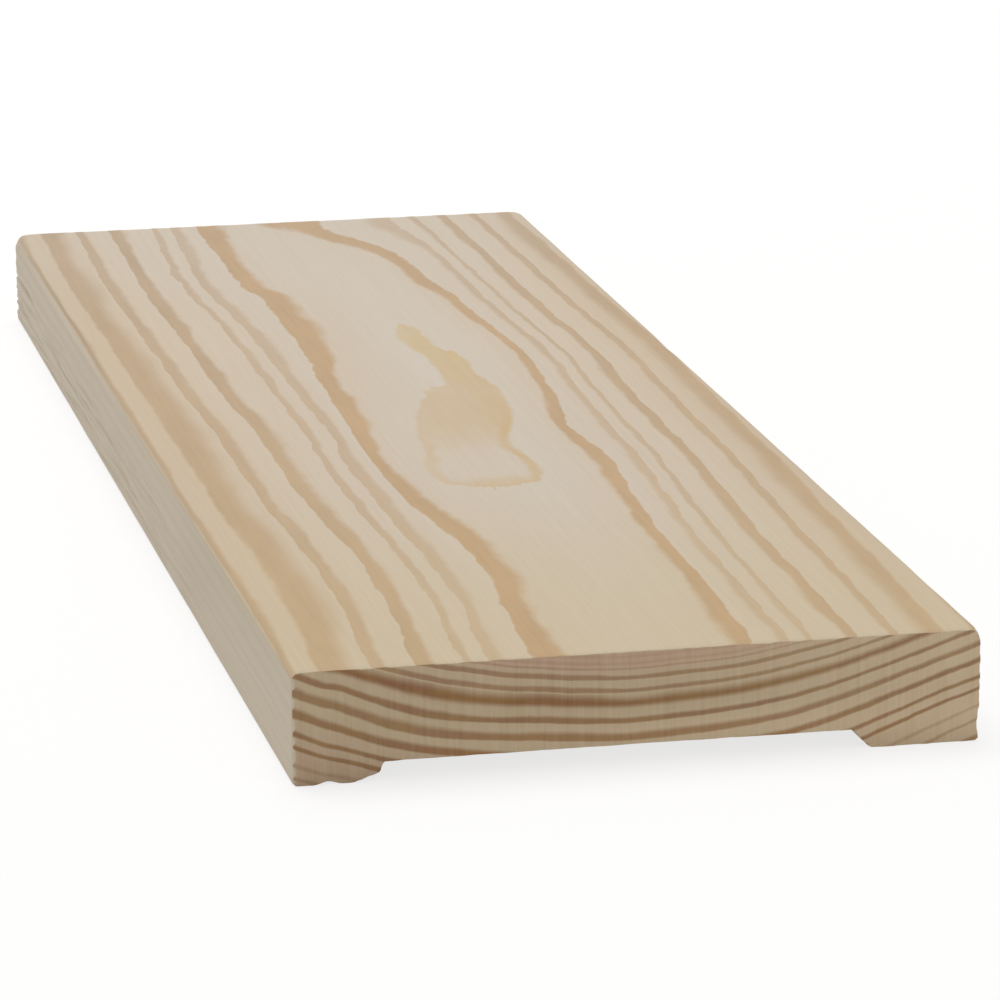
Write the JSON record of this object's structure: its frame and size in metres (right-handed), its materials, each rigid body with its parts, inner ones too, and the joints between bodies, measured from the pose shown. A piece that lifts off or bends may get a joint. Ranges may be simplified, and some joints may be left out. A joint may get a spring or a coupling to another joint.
{
  "type": "cover strip moulding",
  "caption": "Flat planed pine strip with softly eased face edges and a wide shallow relief in the back, fixed over a joint or round an opening as trim.",
  "frame": {"origin": "middle of the back, on the plane of the two bearing lands, halfway along the strip", "axes": "+Y along the grain and the length, +Z out of the face, +X across the width towards the wider land"},
  "size_m": [0.09, 0.275, 0.015],
  "materials": {
    "planed_pine": "matte"
  },
  "bodies": {
    "root": {"cover_strip": "planed_pine"}
  },
  "joints": []
}
